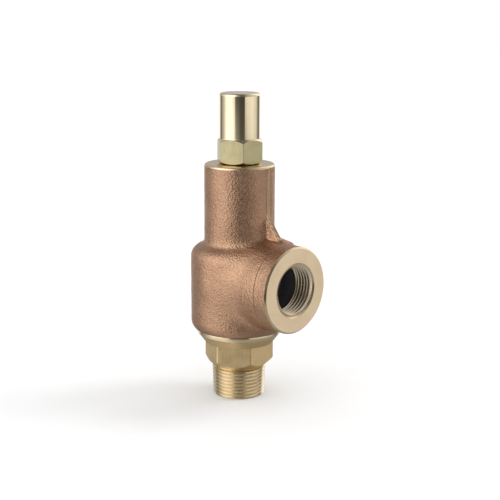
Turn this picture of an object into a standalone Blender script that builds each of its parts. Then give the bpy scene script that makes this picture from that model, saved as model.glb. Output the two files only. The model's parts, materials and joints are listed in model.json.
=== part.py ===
"""Pressure relief valve with a male threaded inlet, a female threaded side outlet and a closed cap.

Frame: the origin is the centre of the inlet's end, +Z runs up the valve's axis, and the outlet
faces +X. Sizes below are in millimetres; the helpers turn them into metres.
"""

import math

import bmesh
import bpy
from mathutils import Matrix, Vector

# Driving dimensions
OUTLET_HEIGHT = 60.3  # inlet end to the outlet's axis
OUTLET_REACH = 38.1  # valve axis to the outlet's face
OVERALL_HEIGHT = 152.3

PIPE_PITCH = 25.4 / 14  # 3/4-14 NPT
PIPE_THREAD_DEPTH = 1.45
PIPE_TAPER = 1 / 32  # growth of the radius along the thread
INLET_CREST_RADIUS = 13.0  # at the inlet's end
OUTLET_ROOT_RADIUS = 13.28  # at the outlet's face

HEX_ACROSS_FLATS = 30.2  # the nozzle's hexagon
HEX_FLAT_ANGLE = 5.5  # degrees from +X to the normal of one flat
HEX_BOTTOM, HEX_TOP = 15.8, 26.5
FLANGE_RADIUS, FLANGE_TOP = 20.9, 31.6
INLET_BORE_RADIUS, NOZZLE_BORE_RADIUS = 9.6, 7.9
TOWER_RADIUS, TOWER_TOP = 17.4, 44.0
SEAT_HEIGHT = 48.0

BODY_BOTTOM = 31.9
BULGE_RADIUS, BOSS_RADIUS = 24.1, 21.3
SHOULDER_RADIUS, SHOULDER_START = 6.6, 71.0
NECK_RADIUS, NECK_TOP = 17.5, 117.9
CHAMBER_RADIUS = 20.3
PASSAGE_RADIUS = 10.0
GUIDE_POCKET_RADIUS, GUIDE_POCKET_TOP = 17.0, 75.5
SPRING_CHAMBER_RADIUS, SPRING_CHAMBER_TOP = 13.4, 112.0

FINE_PITCH = 25.4 / 18  # 5/16-18 adjusting screw and 5/8-18 cap thread
SCREW_RADIUS, SCREW_HOLE_RADIUS, SCREW_TOP = 3.97, 4.3, 140.0
CAP_BOSS_RADIUS, CAP_BOSS_TOP = 7.6, 125.5
FINE_THREAD_DEPTH = 0.75

CAP_BOTTOM, CAP_HEX_TOP = 118.2, 130.2
CAP_ACROSS_FLATS = 20.64
CAP_CORNER_ANGLE = 23.0  # degrees from +X to one corner
CAP_RADIUS = 10.0

SPINDLE_RADIUS = 4.0
SPRING_BOTTOM, SPRING_TOP = 81.8, 103.0
SPRING_RADIUS, SPRING_WIRE_RADIUS, SPRING_TURNS = 10.7, 1.3, 5.5

GAP = 0.3  # clearance between pieces that touch
METRES = 0.001


# Materials

def material(name, color, roughness, metallic):
    made = bpy.data.materials.new(name)
    made.use_nodes = True
    shader = made.node_tree.nodes["Principled BSDF"]
    shader.inputs["Base Color"].default_value = (*color, 1.0)
    shader.inputs["Roughness"].default_value = roughness
    shader.inputs["Metallic"].default_value = metallic
    made.diffuse_color = (*color, 1.0)
    return made


def cast_bronze():
    return material("cast_bronze", (0.62, 0.45, 0.33), 0.55, 1.0)


def turned_brass():
    return material("turned_brass", (0.80, 0.62, 0.33), 0.30, 1.0)


def polished_brass():
    return material("polished_brass", (0.86, 0.68, 0.38), 0.12, 1.0)


def stainless_steel():
    return material("stainless_steel", (0.60, 0.60, 0.60), 0.30, 1.0)


def plated_steel():
    return material("plated_steel", (0.66, 0.64, 0.58), 0.35, 1.0)


def spring_steel():
    return material("spring_steel", (0.45, 0.45, 0.46), 0.35, 1.0)


def seat_rubber():
    return material("seat_rubber", (0.05, 0.05, 0.05), 0.60, 0.0)


def gasket_fibre():
    return material("gasket_fibre", (0.30, 0.28, 0.25), 0.80, 0.0)


# Outlines, as (radius, height) points

def arc(centre_radius, centre_height, radius, start, end, steps):
    """Points of a round stretch; angles in degrees, 0 outward and 90 up."""
    points = []
    for step in range(steps + 1):
        angle = math.radians(start + (end - start) * step / steps)
        across = centre_radius + radius * math.cos(angle)
        up = centre_height + radius * math.sin(angle)
        points.append((across, up))
    return points


def pipe_thread(crest, depth, start, turns):
    """Tapered ring grooves with flat crests, going up. A negative depth makes an inside thread."""
    points = []
    for turn in range(turns):
        low = start + turn * PIPE_PITCH
        groove = low + 0.62 * PIPE_PITCH
        points.append((crest + PIPE_TAPER * (low - start), low))
        points.append((crest + PIPE_TAPER * (low - start), low + 0.24 * PIPE_PITCH))
        points.append((crest - depth + PIPE_TAPER * (groove - start), groove))
    return points


def fine_thread(crest, depth, start, turns):
    """Straight V-shaped ring grooves, going up. A negative depth makes an inside thread."""
    points = []
    for turn in range(turns):
        points.append((crest, start + turn * FINE_PITCH))
        points.append((crest - depth, start + (turn + 0.5) * FINE_PITCH))
    return points


# Shapes

def finish(mesh_data, name, look, sharp_angle=32):
    mesh = bpy.data.meshes.new(name)
    bmesh.ops.recalc_face_normals(mesh_data, faces=mesh_data.faces)
    bmesh.ops.scale(mesh_data, vec=(METRES,) * 3, verts=mesh_data.verts)
    mesh_data.to_mesh(mesh)
    mesh_data.free()
    mesh.materials.append(look)
    mesh.shade_smooth()
    mesh.set_sharp_from_angle(angle=math.radians(sharp_angle))
    made = bpy.data.objects.new(name, mesh)
    bpy.context.scene.collection.objects.link(made)
    return made


def lathe(name, outline, look, segments=48, opening=0.0):
    """Turns a closed outline about Z. An opening in degrees leaves a split, as in a snap ring."""
    mesh_data = bmesh.new()
    points = [mesh_data.verts.new((radius, 0, height)) for radius, height in outline]
    edges = []
    for first, second in zip(points, points[1:] + points[:1]):
        if first.co.x > 0 or second.co.x > 0:
            edges.append(mesh_data.edges.new((first, second)))
    if opening:
        turned = Matrix.Rotation(math.radians(opening / 2), 4, "Z")
        start_face = mesh_data.faces.new(points)
        bmesh.ops.rotate(mesh_data, verts=points, cent=(0, 0, 0), matrix=turned)
        geometry = [start_face]
    else:
        geometry = points + edges
    bmesh.ops.spin(
        mesh_data,
        geom=geometry,
        cent=(0, 0, 0),
        axis=(0, 0, 1),
        angle=math.radians(360 - opening),
        steps=segments,
        use_merge=not opening,
    )
    bmesh.ops.remove_doubles(mesh_data, verts=mesh_data.verts, dist=0.0001)
    return finish(mesh_data, name, look)


def prism(name, corners, low, high, look):
    """Extrudes a polygon in XY from low to high."""
    mesh_data = bmesh.new()
    base = mesh_data.faces.new([mesh_data.verts.new((x, y, low)) for x, y in corners])
    grown = bmesh.ops.extrude_face_region(mesh_data, geom=[base])
    tops = [item for item in grown["geom"] if isinstance(item, bmesh.types.BMVert)]
    bmesh.ops.translate(mesh_data, verts=tops, vec=(0, 0, high - low))
    return finish(mesh_data, name, look)


def hexagon(across_flats, corner_angle):
    reach = across_flats / math.sqrt(3)
    corners = []
    for corner in range(6):
        angle = math.radians(corner_angle + 60 * corner)
        corners.append((reach * math.cos(angle), reach * math.sin(angle)))
    return corners


def combine(target, other, operation):
    """Boolean of target with other, which stays in the file as a hidden helper."""
    step = target.modifiers.new(f"{operation.lower()}_{other.name}", "BOOLEAN")
    step.operation = operation
    step.solver = "EXACT"
    step.object = other
    other.hide_render = True
    other.display_type = "WIRE"


def lay_along_outlet(made):
    """Turns a shape made about Z so that its height runs along the outlet."""
    made.rotation_euler = (0, math.radians(90), 0)
    made.location = (0, 0, OUTLET_HEIGHT * METRES)


def carry(axis_empty, pieces):
    for piece in pieces:
        piece.parent = axis_empty
        piece.matrix_parent_inverse = axis_empty.matrix_world.inverted()


def joint_axis(name, height):
    axis_empty = bpy.data.objects.new(name, None)
    axis_empty.location = (0, 0, height * METRES)
    bpy.context.scene.collection.objects.link(axis_empty)
    bpy.context.view_layer.update()
    return axis_empty


# Body

def body_outside(look):
    corner = BULGE_RADIUS - SHOULDER_RADIUS
    outline = [(0, BODY_BOTTOM), (BOSS_RADIUS, BODY_BOTTOM), (21.6, 34.6)]
    outline += arc(BULGE_RADIUS - 6.0, 39.6, 6.0, -52, 0, 5)
    outline += arc(corner, SHOULDER_START, SHOULDER_RADIUS, 0, 84, 8)
    outline += [(17.3, 78.8), (NECK_RADIUS - 0.2, 81), (NECK_RADIUS, 95)]
    outline += [(NECK_RADIUS, NECK_TOP - 1.0), (NECK_RADIUS - 0.8, NECK_TOP)]
    outline += [(CAP_BOSS_RADIUS - FINE_THREAD_DEPTH, NECK_TOP)]
    outline += fine_thread(CAP_BOSS_RADIUS, FINE_THREAD_DEPTH, NECK_TOP + 0.6, 4)
    outline += [(CAP_BOSS_RADIUS, CAP_BOSS_TOP - 0.9), (CAP_BOSS_RADIUS - 0.8, CAP_BOSS_TOP)]
    outline += [(0, CAP_BOSS_TOP)]
    return lathe("valve_body", outline, look, 40)


def body_inside(look):
    low = BODY_BOTTOM - 1
    outline = [(0, low), (19.6, low), (19.6, BODY_BOTTOM + 1.7), (17.75, BODY_BOTTOM + 1.7)]
    outline += [(17.75, 41), (CHAMBER_RADIUS, 42.5), (CHAMBER_RADIUS, 69.5)]
    outline += [(GUIDE_POCKET_RADIUS, 69.5), (GUIDE_POCKET_RADIUS, 70.6), (18.4, 70.6)]
    outline += [(18.4, 72.5), (GUIDE_POCKET_RADIUS, 72.5)]
    outline += [(GUIDE_POCKET_RADIUS, GUIDE_POCKET_TOP)]
    outline += [(SPRING_CHAMBER_RADIUS, GUIDE_POCKET_TOP)]
    outline += [(SPRING_CHAMBER_RADIUS, SPRING_CHAMBER_TOP)]
    outline += [(SCREW_HOLE_RADIUS, SPRING_CHAMBER_TOP)]
    outline += [(SCREW_HOLE_RADIUS, CAP_BOSS_TOP + 1), (0, CAP_BOSS_TOP + 1)]
    return lathe("body_inside", outline, look, 32)


def outlet_outside(look):
    outline = [(0, 0), (BOSS_RADIUS - 0.3, 0), (BOSS_RADIUS, 30.4)]
    outline += [(BOSS_RADIUS, OUTLET_REACH - 1.3), (BOSS_RADIUS - 0.9, OUTLET_REACH)]
    outline += [(0, OUTLET_REACH)]
    made = lathe("outlet_outside", outline, look, 40)
    lay_along_outlet(made)
    return made


def outlet_inside(look):
    """Countersunk mouth, tapered pipe thread, then the passage to the chamber."""
    turns = 7
    start = OUTLET_REACH - 0.7 - turns * PIPE_PITCH
    root = OUTLET_ROOT_RADIUS - PIPE_TAPER * (OUTLET_REACH - start)
    crest = root - PIPE_THREAD_DEPTH
    outline = [(0, 8), (PASSAGE_RADIUS, 8), (PASSAGE_RADIUS, start - 2), (crest, start - 0.6)]
    outline += pipe_thread(crest, -PIPE_THREAD_DEPTH, start, turns)
    outline += [(OUTLET_ROOT_RADIUS, OUTLET_REACH - 0.6)]
    outline += [(OUTLET_ROOT_RADIUS + 0.62, OUTLET_REACH), (13.9, OUTLET_REACH + 2)]
    outline += [(0, OUTLET_REACH + 2)]
    made = lathe("outlet_inside", outline, look, 30)
    lay_along_outlet(made)
    return made


def gusset_rib(look):
    """Web in the plane of the two axes, from the neck down to the outlet boss."""
    thickness = 3.0
    side = [(14, -96), (NECK_RADIUS, -94.3), (28.9, -81.4), (28.9, -76), (14, -76)]
    made = prism("gusset_rib", side, -thickness / 2, thickness / 2, look)
    made.rotation_euler = (math.radians(-90), 0, 0)
    return made


def valve_body(look):
    body = body_outside(look)
    combine(body, outlet_outside(look), "UNION")
    combine(body, gusset_rib(look), "UNION")
    combine(body, body_inside(look), "DIFFERENCE")
    combine(body, outlet_inside(look), "DIFFERENCE")
    return body


# Inlet nozzle

def nozzle_turning(look):
    """The nozzle as turned: pipe thread, flange, tower and seat, with the bore through it."""
    turns = 8
    first = 0.9
    neck = INLET_CREST_RADIUS + PIPE_TAPER * HEX_BOTTOM - 0.15
    outline = [(INLET_BORE_RADIUS, 0), (INLET_CREST_RADIUS - 0.8, 0)]
    outline += pipe_thread(INLET_CREST_RADIUS, PIPE_THREAD_DEPTH, first, turns)
    outline += [(neck, first + turns * PIPE_PITCH), (neck, HEX_BOTTOM), (14.2, HEX_BOTTOM + 0.5)]
    outline += [(14.2, HEX_TOP - 0.5), (16.8, HEX_TOP), (FLANGE_RADIUS, FLANGE_TOP - 1.2)]
    outline += [(FLANGE_RADIUS, FLANGE_TOP), (TOWER_RADIUS, FLANGE_TOP)]
    outline += [(TOWER_RADIUS, TOWER_TOP - 1), (TOWER_RADIUS - 1, TOWER_TOP), (12, TOWER_TOP)]
    outline += [(9.6, SEAT_HEIGHT), (NOZZLE_BORE_RADIUS + 0.5, SEAT_HEIGHT)]
    outline += [(NOZZLE_BORE_RADIUS, SEAT_HEIGHT - 0.5), (NOZZLE_BORE_RADIUS, 26)]
    outline += [(INLET_BORE_RADIUS, 20)]
    return lathe("inlet_nozzle", outline, look, 32)


def hex_ring(name, across_flats, corner_angle, bottom, top, chamfers, look):
    """Hexagon whose corners are turned down by a chamfer at each end, as (height, drop) pairs."""
    bar = prism(name, hexagon(across_flats, corner_angle), bottom, top, look)
    reach = across_flats / math.sqrt(3) + 0.01
    lower_rise, lower_drop = chamfers[0]
    upper_rise, upper_drop = chamfers[1]
    outline = [(0, bottom - 0.001), (reach - lower_drop, bottom - 0.001)]
    outline += [(reach, bottom + lower_rise), (reach, top - upper_rise)]
    outline += [(reach - upper_drop, top + 0.001), (0, top + 0.001)]
    combine(bar, lathe(f"{name}_corners", outline, look, 32), "INTERSECT")
    return bar


def inlet_nozzle(look):
    nozzle = nozzle_turning(look)
    corner = HEX_FLAT_ANGLE + 30
    chamfers = ((3.4, 4.0), (0.3, 0.2))
    ring = hex_ring("nozzle_hex", HEX_ACROSS_FLATS, corner, HEX_BOTTOM, 27.2, chamfers, look)
    hollow = [(0, 15), (11.5, 15), (11.5, 28), (0, 28)]
    combine(ring, lathe("nozzle_hex_hollow", hollow, look, 24), "DIFFERENCE")
    combine(nozzle, ring, "UNION")
    return nozzle


def nozzle_seal_ring(look):
    low = BODY_BOTTOM + 0.05
    outline = [(17.7, low), (19.3, low), (19.3, low + 1.3), (17.7, low + 1.3)]
    return lathe("nozzle_seal_ring", outline, look, 32)


# Disc and its holder

def disc_holder(look):
    outline = [(0, 56), (2.35, 56), (2.35, 51.2), (11.3, 51.2), (11.3, 48.9), (12.8, 48.9)]
    outline += [(12.8, 55.5), (11.5, 57), (7, 58.5), (7, 66), (4.4, 66)]
    outline += [(4.4, 65.9), (5.6, 65.9), (5.6, 64.4), (4.4, 64.4), (4.4, 58), (0, 58)]
    return lathe("disc_holder", outline, look, 24)


def seat_insert(look):
    low = SEAT_HEIGHT + GAP
    outline = [(5.3, low), (11.0, low), (11.0, low + 2.6), (5.3, low + 2.6)]
    return lathe("seat_insert", outline, look, 24)


def insert_retainer(look):
    outline = [(2.35, 46.7), (7.2, 46.7), (7.4, 47.0), (7.4, 48.0), (5.0, 48.0)]
    outline += [(5.0, 50.9), (2.35, 50.9)]
    return lathe("insert_retainer", outline, look, 24)


def retainer_screw(look):
    outline = [(0, 44.4), (3.1, 44.4), (3.6, 44.9), (3.6, 46.4), (2.0, 46.4), (2.0, 55.5)]
    outline += [(0, 55.5)]
    screw = lathe("retainer_screw", outline, look, 16)
    slot = prism("retainer_screw_slot", [(-5, -0.5), (5, -0.5), (5, 0.5), (-5, 0.5)], 43, 45.3, look)
    combine(screw, slot, "DIFFERENCE")
    return screw


def pivot_ball(look):
    outline = arc(0, 60.8, 2.5, -90, 90, 8)
    outline[0] = (0, 58.3)
    outline[-1] = (0, 63.3)
    return lathe("pivot_ball", outline, look, 16)


def disc_clip(look):
    outline = [(3.5, 64.7), (5.3, 64.7), (5.3, 65.6), (3.5, 65.6)]
    return lathe("disc_clip", outline, look, 24, opening=50)


# Spindle and its guide

def spindle(look):
    outline = [(0, 63.6), (3.4, 63.6), (SPINDLE_RADIUS, 64.1), (3.2, 64.2), (3.2, 66.1)]
    outline += [(SPINDLE_RADIUS, 66.2), (SPINDLE_RADIUS, 77.4), (3.1, 77.4), (3.1, 78.8)]
    outline += [(SPINDLE_RADIUS, 78.8), (SPINDLE_RADIUS, 83.5), (SPINDLE_RADIUS - 0.6, 84.1)]
    outline += [(0, 84.1)]
    return lathe("spindle", outline, look, 20)


def guide_plate(look):
    outline = [(6.3, 70.2), (8.5, 70.2), (8.5, 72.8), (16.7, 72.8), (16.7, 75.2), (6.3, 75.2)]
    plate = lathe("guide_plate", outline, look, 32)
    for place in range(4):
        turn = math.radians(45 + 90 * place)
        hole = lathe(f"vent_hole_{place}", [(0, 72), (1.7, 72), (1.7, 76), (0, 76)], look, 10)
        hole.location = Vector((math.cos(turn), math.sin(turn), 0)) * 12.2 * METRES
        combine(plate, hole, "DIFFERENCE")
    return plate


def guide_bush(look):
    outline = [(4.35, 70.2), (6.0, 70.2), (6.0, 75.5), (7.6, 75.5), (7.6, 76.7), (4.35, 76.7)]
    return lathe("guide_bush", outline, look, 24)


def guide_retaining_ring(look):
    outline = [(15.0, 71.0), (18.0, 71.0), (18.0, 72.2), (15.0, 72.2)]
    return lathe("guide_retaining_ring", outline, look, 30, opening=24)


# Spring and what loads it

def lower_spring_step(look):
    outline = [(0, 84.5), (4.35, 84.5), (4.35, 79.0), (12.0, 79.0), (12.6, 79.6), (12.6, 81.5)]
    outline += [(8.6, 81.5), (8.6, 84.5), (7.4, 86.2), (0, 86.2)]
    return lathe("lower_spring_step", outline, look, 24)


def spindle_snap_ring(look):
    outline = [(3.45, 77.75), (6.2, 77.75), (6.2, 78.6), (3.45, 78.6)]
    return lathe("spindle_snap_ring", outline, look, 24, opening=50)


def valve_spring(look):
    """Round wire on a helix, with closed end coils ground flat on the spring steps."""
    steps_per_turn, sides = 16, 6
    end_turns = 1.0
    end_pitch = 2 * SPRING_WIRE_RADIUS + GAP
    low = SPRING_BOTTOM + 0.55 * SPRING_WIRE_RADIUS
    high = SPRING_TOP - 0.55 * SPRING_WIRE_RADIUS
    middle_turns = SPRING_TURNS - 2 * end_turns
    middle_pitch = (high - low - 2 * end_turns * end_pitch) / middle_turns
    mesh_data = bmesh.new()
    rings = []
    for step in range(round(SPRING_TURNS * steps_per_turn) + 1):
        turn = step / steps_per_turn
        lower = min(turn, end_turns)
        upper = max(0.0, turn - end_turns - middle_turns)
        height = low + (lower + upper) * end_pitch + (turn - lower - upper) * middle_pitch
        around = math.tau * turn
        ring = []
        for side in range(sides):
            angle = math.tau * (side + 0.5) / sides
            radius = SPRING_RADIUS + SPRING_WIRE_RADIUS * math.cos(angle)
            up = height + SPRING_WIRE_RADIUS * math.sin(angle)
            up = min(max(up, SPRING_BOTTOM), SPRING_TOP)
            place = (radius * math.cos(around), radius * math.sin(around), up)
            ring.append(mesh_data.verts.new(place))
        rings.append(ring)
    for before, after in zip(rings, rings[1:]):
        for side in range(sides):
            following = (side + 1) % sides
            mesh_data.faces.new((before[side], before[following], after[following], after[side]))
    mesh_data.faces.new(rings[0])
    mesh_data.faces.new(rings[-1])
    return finish(mesh_data, "valve_spring", look, 50)


def upper_spring_step(look):
    outline = [(0, 99), (7.4, 99), (8.6, 100.6), (8.6, 103.3), (12.9, 103.3), (12.9, 105.2)]
    outline += [(12.3, 105.8), (7.0, 105.8), (6.5, 107.5), (3.4, 107.5), (3.4, 106.2)]
    outline += [(0, 104.4)]
    return lathe("upper_spring_step", outline, look, 24)


def adjusting_screw(look):
    """Screw with a pointed nose in the upper step and a slotted end under the cap."""
    root = SCREW_RADIUS - FINE_THREAD_DEPTH
    turns = 20
    outline = [(0, 104.9), (2.6, 106.4), (2.6, 109.5), (root, 109.9)]
    outline += fine_thread(SCREW_RADIUS, FINE_THREAD_DEPTH, 110.5, turns)
    outline += [(SCREW_RADIUS, 110.5 + turns * FINE_PITCH), (SCREW_RADIUS, SCREW_TOP - 0.6)]
    outline += [(SCREW_RADIUS - 0.6, SCREW_TOP), (0, SCREW_TOP)]
    screw = lathe("adjusting_screw", outline, look, 12)
    across = [(-6, -0.6), (6, -0.6), (6, 0.6), (-6, 0.6)]
    slot = prism("adjusting_screw_slot", across, SCREW_TOP - 1.7, SCREW_TOP + 1, look)
    combine(screw, slot, "DIFFERENCE")
    return screw


def jam_nut_washer(look):
    low = CAP_BOSS_TOP + GAP
    outline = [(4.4, low), (7.2, low), (7.2, low + 0.9), (4.4, low + 0.9)]
    return lathe("jam_nut_washer", outline, look, 24)


def jam_nut(look):
    low = CAP_BOSS_TOP + 1.5
    chamfers = ((0.7, 0.9), (0.7, 0.9))
    nut = hex_ring("jam_nut", 12.7, 10, low, low + 4.8, chamfers, look)
    hole = [(0, low - 1), (SCREW_HOLE_RADIUS, low - 1), (SCREW_HOLE_RADIUS, low + 6), (0, low + 6)]
    combine(nut, lathe("jam_nut_hole", hole, look, 16), "DIFFERENCE")
    return nut


# Cap

def cap_gasket(look):
    low = CAP_BOTTOM
    outline = [(8.0, low), (9.3, low), (9.3, low + 1.0), (8.0, low + 1.0)]
    return lathe("cap_gasket", outline, look, 24)


def cap_inside(look):
    thread_start = CAP_BOTTOM + 1.9
    outline = [(0, CAP_BOTTOM - 1), (9.6, CAP_BOTTOM - 1), (9.6, CAP_BOTTOM + 1.3)]
    outline += [(CAP_BOSS_RADIUS + 0.35, CAP_BOTTOM + 1.3)]
    outline += fine_thread(CAP_BOSS_RADIUS + 0.35, -0.6, thread_start, 4)
    outline += [(CAP_BOSS_RADIUS + 0.35, thread_start + 4 * FINE_PITCH)]
    outline += [(8.3, thread_start + 4 * FINE_PITCH + 0.5), (8.3, 149.5), (7.2, 150.5)]
    outline += [(0, 150.5)]
    return lathe("cap_inside", outline, look, 24)


def cap_cylinder(look):
    edge = 1.4
    outline = [(0, CAP_HEX_TOP - 4), (CAP_RADIUS - 0.5, CAP_HEX_TOP - 4)]
    outline += [(CAP_RADIUS - 0.5, CAP_HEX_TOP - 0.2), (CAP_RADIUS + 0.25, CAP_HEX_TOP - 0.1)]
    outline += [(CAP_RADIUS, CAP_HEX_TOP + 0.4)]
    outline += arc(CAP_RADIUS - edge, OVERALL_HEIGHT - edge, edge, 0, 90, 4)
    outline += [(0, OVERALL_HEIGHT)]
    return lathe("cap_cylinder", outline, look, 32)


def cap(look):
    chamfers = ((1.2, 1.9), (1.3, 1.9))
    made = hex_ring(
        "cap", CAP_ACROSS_FLATS, CAP_CORNER_ANGLE, CAP_BOTTOM, CAP_HEX_TOP, chamfers, look
    )
    combine(made, cap_cylinder(look), "UNION")
    combine(made, cap_inside(look), "DIFFERENCE")
    return made


# The valve

for old in list(bpy.data.objects):
    bpy.data.objects.remove(old, do_unlink=True)

bronze = cast_bronze()
brass = turned_brass()
stainless = stainless_steel()
plated = plated_steel()
rubber = seat_rubber()
fibre = gasket_fibre()

valve_body(bronze)
inlet_nozzle(brass)
nozzle_seal_ring(fibre)
guide_plate(brass)
guide_bush(turned_brass())
guide_retaining_ring(spring_steel())

lift_axis = joint_axis("disc_lift_axis", SEAT_HEIGHT)
carry(
    lift_axis,
    [
        disc_holder(brass),
        seat_insert(rubber),
        insert_retainer(brass),
        retainer_screw(stainless),
        disc_clip(stainless),
        pivot_ball(stainless),
        spindle(stainless),
        spindle_snap_ring(stainless),
        lower_spring_step(plated),
    ],
)
valve_spring(spring_steel())

adjuster_axis = joint_axis("adjuster_axis", SPRING_TOP)
carry(adjuster_axis, [upper_spring_step(plated), adjusting_screw(plated)])

nut_axis = joint_axis("jam_nut_axis", CAP_BOSS_TOP)
carry(nut_axis, [jam_nut_washer(plated), jam_nut(plated)])

cap_axis = joint_axis("cap_axis", NECK_TOP)
carry(cap_axis, [cap_gasket(fibre), cap(polished_brass())])
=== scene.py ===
import json
import math

import bmesh
import bpy
from mathutils import Matrix, Vector


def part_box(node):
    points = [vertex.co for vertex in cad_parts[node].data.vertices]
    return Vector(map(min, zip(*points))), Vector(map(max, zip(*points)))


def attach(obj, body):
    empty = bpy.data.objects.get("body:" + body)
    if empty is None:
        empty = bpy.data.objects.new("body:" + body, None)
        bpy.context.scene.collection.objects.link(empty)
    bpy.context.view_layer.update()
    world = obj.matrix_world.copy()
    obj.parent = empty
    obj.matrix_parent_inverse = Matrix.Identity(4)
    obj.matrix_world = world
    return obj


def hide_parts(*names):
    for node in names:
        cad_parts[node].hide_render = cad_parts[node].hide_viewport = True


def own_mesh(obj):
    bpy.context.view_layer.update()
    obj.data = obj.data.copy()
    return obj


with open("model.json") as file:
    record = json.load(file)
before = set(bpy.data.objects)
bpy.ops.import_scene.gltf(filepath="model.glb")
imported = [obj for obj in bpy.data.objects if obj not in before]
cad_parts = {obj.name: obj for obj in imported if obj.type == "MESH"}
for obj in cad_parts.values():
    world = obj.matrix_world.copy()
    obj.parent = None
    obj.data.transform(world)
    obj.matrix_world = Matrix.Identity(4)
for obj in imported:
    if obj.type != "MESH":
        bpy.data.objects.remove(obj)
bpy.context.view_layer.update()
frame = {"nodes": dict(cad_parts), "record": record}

mm = 0.001
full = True


# Places from the frame, in millimetres

def boxOf(node):
    low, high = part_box(node)
    return low / mm, high / mm


def openingCentre(name):
    for entry in frame["record"]["physics"]["openings"]:
        if entry["name"] == name:
            low, high = entry["box_m"]
            return (Vector(low) + Vector(high)) / 2 / mm


bodyLow, bodyHigh = boxOf("valve_body")
nozzleLow, nozzleHigh = boxOf("inlet_nozzle")
capLow, capHigh = boxOf("cap")
outletHeight = openingCentre("outlet_socket").z
outletFace = bodyHigh.x
neckTop = capLow.z - 0.3
pipePitch = 25.4 / 14
finePitch = 25.4 / 18


# Shader and field formulas

class Value:  # one value in a node tree, so that sums of nodes read as formulas
    def __init__(self, tree, socket):
        self.tree, self.socket = tree, socket

    def math(self, operation, *others):
        node = self.tree.nodes.new("ShaderNodeMath")
        node.operation = operation
        for slot, item in zip(node.inputs, (self, *others)):
            if isinstance(item, Value):
                self.tree.links.new(item.socket, slot)
            else:
                slot.default_value = item
        return Value(self.tree, node.outputs[0])

    def __add__(self, other):
        return self.math("ADD", other)

    def __sub__(self, other):
        return self.math("SUBTRACT", other)

    def __mul__(self, other):
        return self.math("MULTIPLY", other)

    def lowest(self, other):
        return self.math("MINIMUM", other)

    def highest(self, other):
        return self.math("MAXIMUM", other)

    def size(self):
        return self.math("ABSOLUTE")

    def between(self, low, high, soft):  # 1 inside the range, 0 outside, with soft edges
        rise = (self - (low - soft)).math("DIVIDE", 2 * soft)
        fall = (self * -1 + (high + soft)).math("DIVIDE", 2 * soft)
        return rise.lowest(fall).highest(0).lowest(1)


def reach(first, second):
    return (first * first + second * second).math("SQRT")


def axes(tree, socket):
    split = tree.nodes.new("ShaderNodeSeparateXYZ")
    tree.links.new(socket, split.inputs[0])
    return [Value(tree, output) for output in split.outputs]


# Materials

def newMaterial(name, metallic=1.0):
    made = bpy.data.materials.new(name)
    made.use_nodes = True
    tree = made.node_tree
    shader = tree.nodes["Principled BSDF"]
    shader.inputs["Metallic"].default_value = metallic
    shader.inputs["Specular IOR Level"].default_value = 0.5
    return made, tree, shader


def objectPlace(tree):
    return tree.nodes.new("ShaderNodeTexCoord").outputs["Object"]


def stretched(tree, socket, scale):
    mapping = tree.nodes.new("ShaderNodeMapping")
    mapping.inputs["Scale"].default_value = scale
    tree.links.new(socket, mapping.inputs["Vector"])
    return mapping.outputs["Vector"]


def noise(tree, vector, scale, detail, roughness=0.5):
    node = tree.nodes.new("ShaderNodeTexNoise")
    node.inputs["Scale"].default_value = scale
    node.inputs["Detail"].default_value = detail
    node.inputs["Roughness"].default_value = roughness
    tree.links.new(vector, node.inputs["Vector"])
    return Value(tree, node.outputs[0])


def cells(tree, vector, scale):
    node = tree.nodes.new("ShaderNodeTexVoronoi")
    node.inputs["Scale"].default_value = scale
    tree.links.new(vector, node.inputs["Vector"])
    return Value(tree, node.outputs["Distance"])


def shades(tree, factor, stops):
    ramp = tree.nodes.new("ShaderNodeValToRGB")
    tree.links.new(factor.socket, ramp.inputs[0])
    elements = ramp.color_ramp.elements
    while len(elements) < len(stops):
        elements.new(0.5)
    for element, (position, color) in zip(elements, stops):
        element.position = position
        element.color = (*color, 1.0)
    return ramp.outputs[0]


def blendColors(tree, factor, first, second):
    mix = tree.nodes.new("ShaderNodeMix")
    mix.data_type = "RGBA"
    tree.links.new(factor.socket, mix.inputs["Factor"])
    for item, slot in ((first, mix.inputs["A"]), (second, mix.inputs["B"])):
        if isinstance(item, tuple):
            slot.default_value = (*item, 1.0)
        else:
            tree.links.new(item, slot)
    return mix.outputs["Result"]


def bump(tree, shader, height, distance):
    node = tree.nodes.new("ShaderNodeBump")
    node.inputs["Distance"].default_value = distance
    node.inputs["Strength"].default_value = 1.0
    tree.links.new(height.socket, node.inputs["Height"])
    tree.links.new(node.outputs[0], shader.inputs["Normal"])


def around(tree, x, y):
    joined = tree.nodes.new("ShaderNodeCombineXYZ")
    tree.links.new(x.socket, joined.inputs[0])
    tree.links.new(y.socket, joined.inputs[1])
    return joined.outputs[0]


castFinish = {
    "light": (0.60, 0.372, 0.238),
    "dark": (0.40, 0.228, 0.145),
    "groundStrip": (0.60, 0.42, 0.255),
    "grainScale": 1200,  # grains per metre
    "grainDepth": 0.00034,
    "roughness": 0.40,
    "patchScale": 70,
    "stripHalfWidth": 0.0011,
    "seamPlace": 0.0304,  # a fine joint line behind the outlet's face
    "seamHalfWidth": 0.00012,
}


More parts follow.
